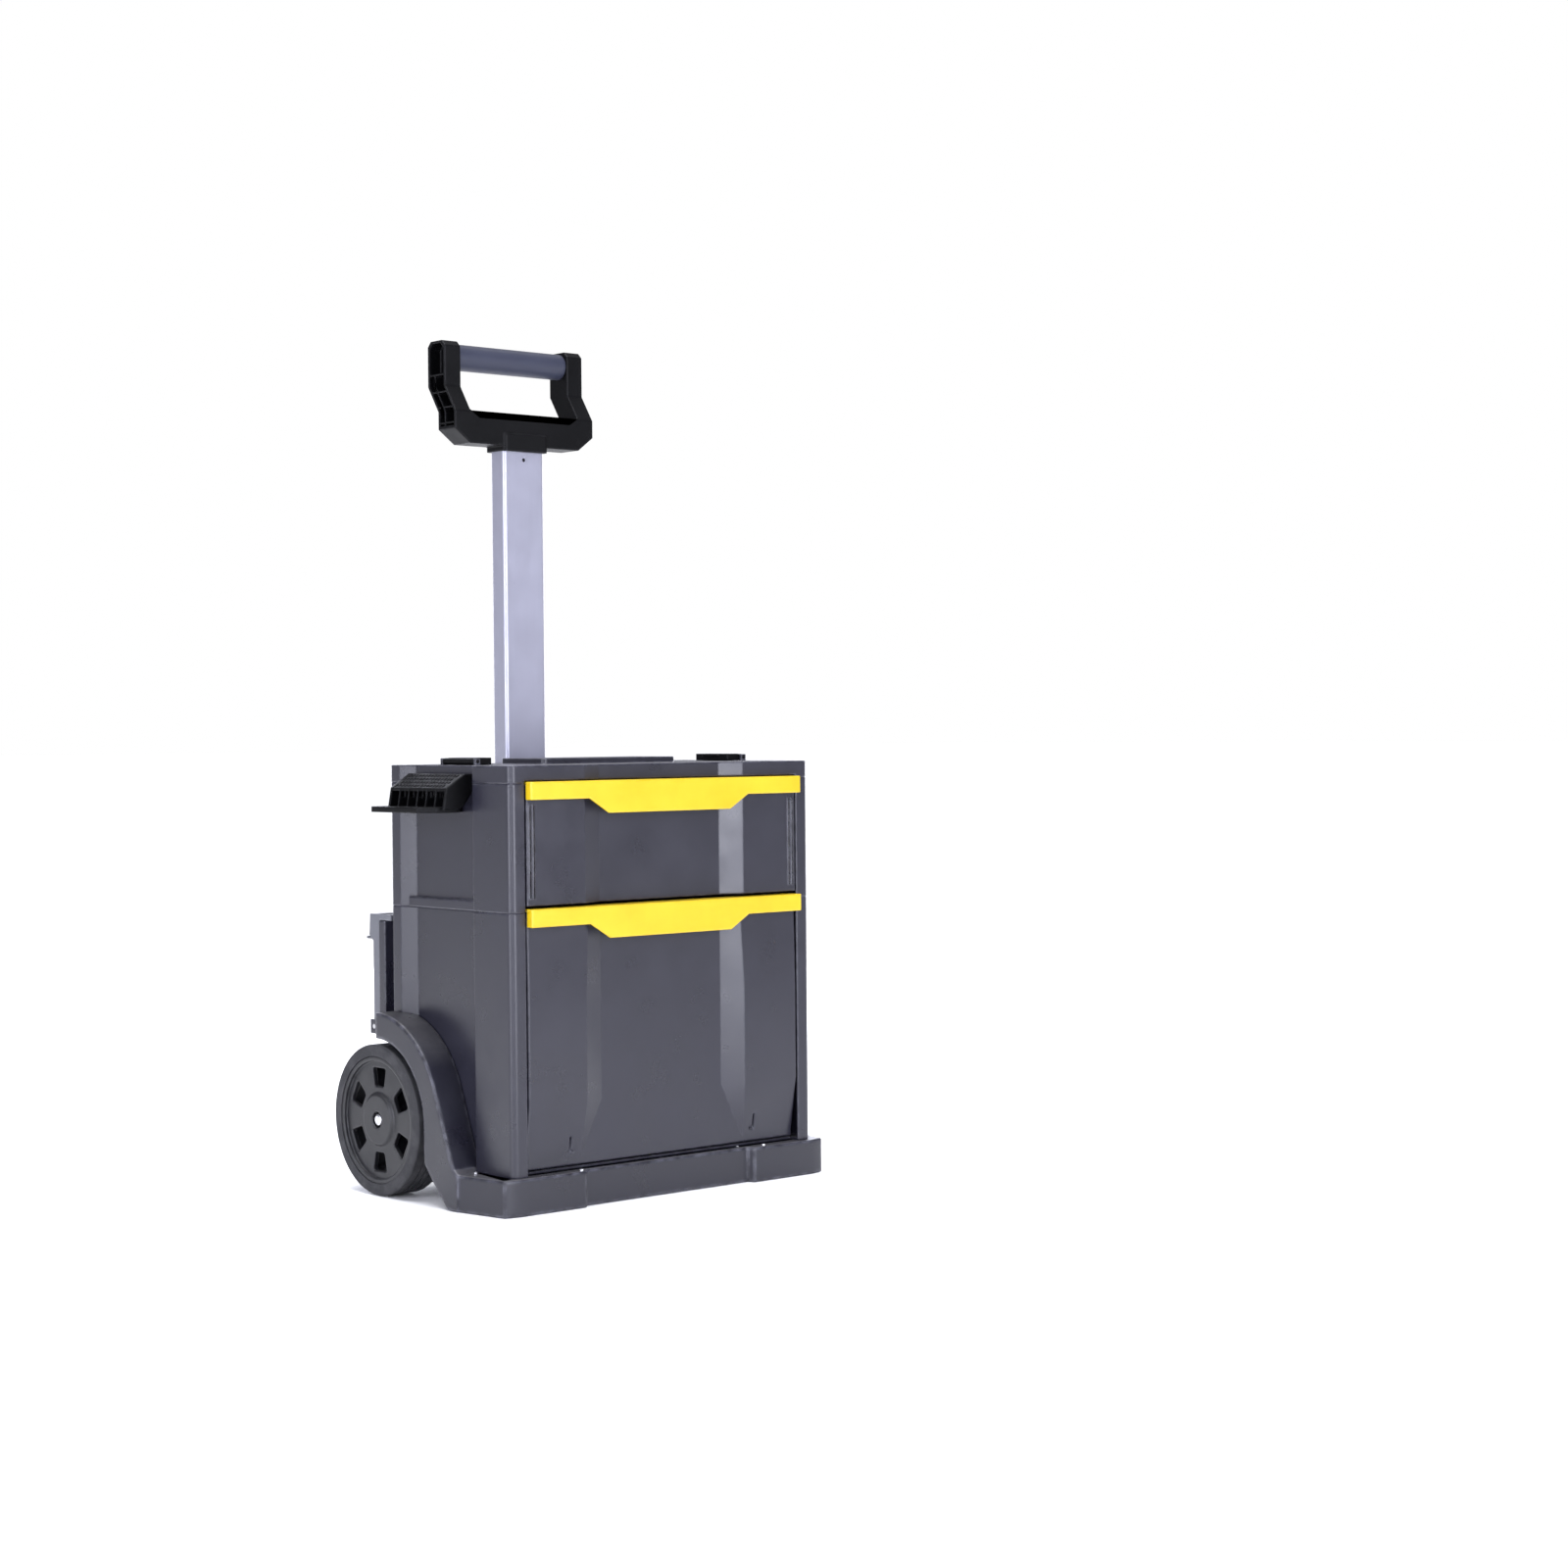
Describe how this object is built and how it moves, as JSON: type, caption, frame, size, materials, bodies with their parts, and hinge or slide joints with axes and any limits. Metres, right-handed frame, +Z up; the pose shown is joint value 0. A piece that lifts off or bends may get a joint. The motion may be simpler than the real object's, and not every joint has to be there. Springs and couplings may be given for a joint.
{
  "type": "rolling tool box",
  "caption": "Rolling tool box with two sliding drawers, wheels at the back, a telescopic handle, coupling latches and a side tool rack.",
  "frame": {"origin": "on the floor, on the underside of the base, below the middle of the case", "axes": "+X to the user's right when facing the drawers from the front, -Y the way the drawers open, +Z up"},
  "size_m": [0.493, 0.315, 0.955],
  "materials": {
    "case_plastic": "fine moulded texture",
    "black_plastic": "satin moulded",
    "rim_plastic": "satin moulded",
    "yellow_plastic": "semi-gloss",
    "grip_plastic": "satin",
    "grey_plastic": "satin",
    "steel": "zinc plated",
    "pole_aluminium": "satin anodised",
    "tyre_rubber": "matt rubber"
  },
  "bodies": {
    "case": {"base_frame": "case_plastic", "lower_case": "case_plastic", "upper_case": "case_plastic", "top_cover": "case_plastic", "back_frame": "case_plastic", "pole_housing": "case_plastic", "tool_rack": "black_plastic", "axle": "steel", "axle_bushes": "grey_plastic", "left_axle_cap": "steel", "right_axle_cap": "steel", "lower_fixed_rails": "steel", "upper_fixed_rails": "steel", "clip_pins": "black_plastic", "latch_pins": "steel", "cover_screws": "steel", "skirt_screws": "steel", "housing_screws": "steel"},
    "lower_drawer": {"lower_drawer_tub": "case_plastic", "lower_drawer_front": "case_plastic", "lower_pull": "yellow_plastic", "lower_drawer_rails": "steel"},
    "lower_cages": {"lower_ball_cages": "steel"},
    "upper_drawer": {"upper_drawer_tub": "case_plastic", "upper_drawer_front": "case_plastic", "upper_pull": "yellow_plastic", "upper_drawer_rails": "steel"},
    "upper_cages": {"upper_ball_cages": "steel"},
    "left_wheel": {"left_tyre": "tyre_rubber", "left_rim": "rim_plastic"},
    "right_wheel": {"right_tyre": "tyre_rubber", "right_rim": "rim_plastic"},
    "handle": {"pole": "pole_aluminium", "pole_foot": "black_plastic", "handle_frame": "black_plastic", "grip": "grip_plastic", "grip_core": "pole_aluminium", "handle_screws": "steel"},
    "release": {"release_button": "black_plastic", "release_rod": "steel"},
    "lock": {"lock_pin": "steel"},
    "left_coupling": {"left_coupling_latch": "black_plastic"},
    "right_coupling": {"right_coupling_latch": "black_plastic"},
    "left_rear": {"left_rear_latch": "grey_plastic"},
    "right_rear": {"right_rear_latch": "grey_plastic"}
  },
  "joints": [
    {"name": "lower_drawer_slide", "type": "slide", "parent": "case", "child": "lower_drawer", "axis": [0, -1, 0], "range_m": [0, 0.13]},
    {"name": "upper_drawer_slide", "type": "slide", "parent": "case", "child": "upper_drawer", "axis": [0, -1, 0], "range_m": [0, 0.13]},
    {"name": "lower_cage_slide", "type": "slide", "parent": "case", "child": "lower_cages", "axis": [0, -1, 0], "range_m": [0, 0.065]},
    {"name": "upper_cage_slide", "type": "slide", "parent": "case", "child": "upper_cages", "axis": [0, -1, 0], "range_m": [0, 0.065]},
    {"name": "left_wheel_spin", "type": "hinge", "parent": "case", "child": "left_wheel", "pos_m": [-0.215, 0.103, 0.083], "axis": [1, 0, 0], "continuous": true},
    {"name": "right_wheel_spin", "type": "hinge", "parent": "case", "child": "right_wheel", "pos_m": [0.215, 0.103, 0.083], "axis": [1, 0, 0], "continuous": true},
    {"name": "handle_slide", "type": "slide", "parent": "case", "child": "handle", "axis": [0, 0, 1], "range_m": [-0.36, 0]},
    {"name": "release_press", "type": "slide", "parent": "handle", "child": "release", "axis": [0, 0, -1], "range_m": [0, 0.003], "stiffness_N_per_m": 400, "springref_m": -0.003},
    {"name": "lock_pin_slide", "type": "slide", "parent": "handle", "child": "lock", "axis": [0, -1, 0], "range_m": [0, 0.003]},
    {"name": "left_coupling_hinge", "type": "hinge", "parent": "case", "child": "left_coupling", "pos_m": [-0.1875, 0.007, 0.476], "axis": [0, -1, 0], "range_deg": [0, 100]},
    {"name": "right_coupling_hinge", "type": "hinge", "parent": "case", "child": "right_coupling", "pos_m": [0.1875, 0.007, 0.476], "axis": [0, 1, 0], "range_deg": [0, 100]},
    {"name": "left_rear_hinge", "type": "hinge", "parent": "case", "child": "left_rear", "pos_m": [-0.194, 0.144, 0.181], "axis": [-1, 0, 0], "range_deg": [0, 70]},
    {"name": "right_rear_hinge", "type": "hinge", "parent": "case", "child": "right_rear", "pos_m": [0.194, 0.144, 0.181], "axis": [-1, 0, 0], "range_deg": [0, 70]}
  ],
  "couplings": [
    {"joint": "lower_cage_slide", "follows": "lower_drawer_slide", "ratio": 0.5},
    {"joint": "upper_cage_slide", "follows": "upper_drawer_slide", "ratio": 0.5},
    {"joint": "lock_pin_slide", "follows": "release_press", "ratio": 1}
  ]
}
